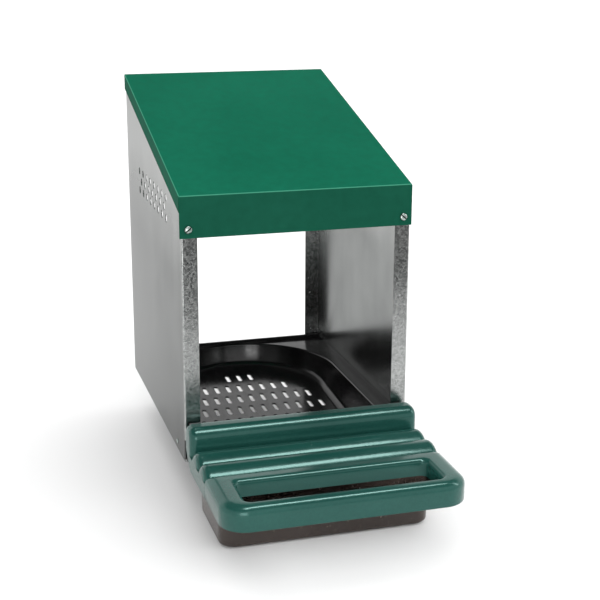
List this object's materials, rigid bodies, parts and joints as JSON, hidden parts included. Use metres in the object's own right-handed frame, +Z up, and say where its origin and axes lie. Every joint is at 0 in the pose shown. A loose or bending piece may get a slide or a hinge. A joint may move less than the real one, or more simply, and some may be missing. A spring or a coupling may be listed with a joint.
{
  "type": "roll-away nest box",
  "caption": "Wall-hung roll-away nest box for laying hens: steel body with sloped cap, sloping slotted tray, fold-up perch and slide-out egg tub.",
  "frame": {"origin": "centre of the wall face of the cap's rear lip, where the nest lies against the wall it hangs on", "axes": "+X to the right seen from the front, +Y towards the wall, +Z up"},
  "size_m": [0.3, 0.611, 0.5097],
  "materials": {
    "cap_paint": "satin green coating on steel sheet",
    "galvanised_sheet": "hot-dip zinc with soft spangle",
    "tray_plastic": "glossy black moulding",
    "bracket_plastic": "black moulding",
    "perch_plastic": "glossy green moulding",
    "tub_plastic": "smoked brown moulding",
    "bright_steel": "bright zinc plate"
  },
  "bodies": {
    "body": {"roof_cap": "cap_paint", "side_panel_left": "galvanised_sheet", "side_panel_right": "galvanised_sheet", "rear_tie_bar": "galvanised_sheet", "nest_tray": "tray_plastic", "perch_bracket_left": "bracket_plastic", "perch_bracket_right": "bracket_plastic", "roof_screw_left": "bright_steel", "roof_screw_right": "bright_steel", "roof_nut_left": "bright_steel", "roof_nut_right": "bright_steel", "bracket_rivet_left": "bright_steel", "bracket_rivet_right": "bright_steel", "tie_rivet_left": "bright_steel", "tie_rivet_right": "bright_steel"},
    "perch": {"perch": "perch_plastic", "hinge_rod": "bright_steel", "rod_clip_left": "bright_steel", "rod_clip_right": "bright_steel"},
    "tub": {"egg_tub": "tub_plastic"}
  },
  "joints": [
    {"name": "perch_hinge", "type": "hinge", "parent": "body", "child": "perch", "pos_m": [0, -0.412, -0.395], "axis": [-1, 0, 0], "range_deg": [0, 88]},
    {"name": "tub_slide", "type": "slide", "parent": "body", "child": "tub", "axis": [0, -1, 0], "range_m": [0, 0.1]}
  ]
}
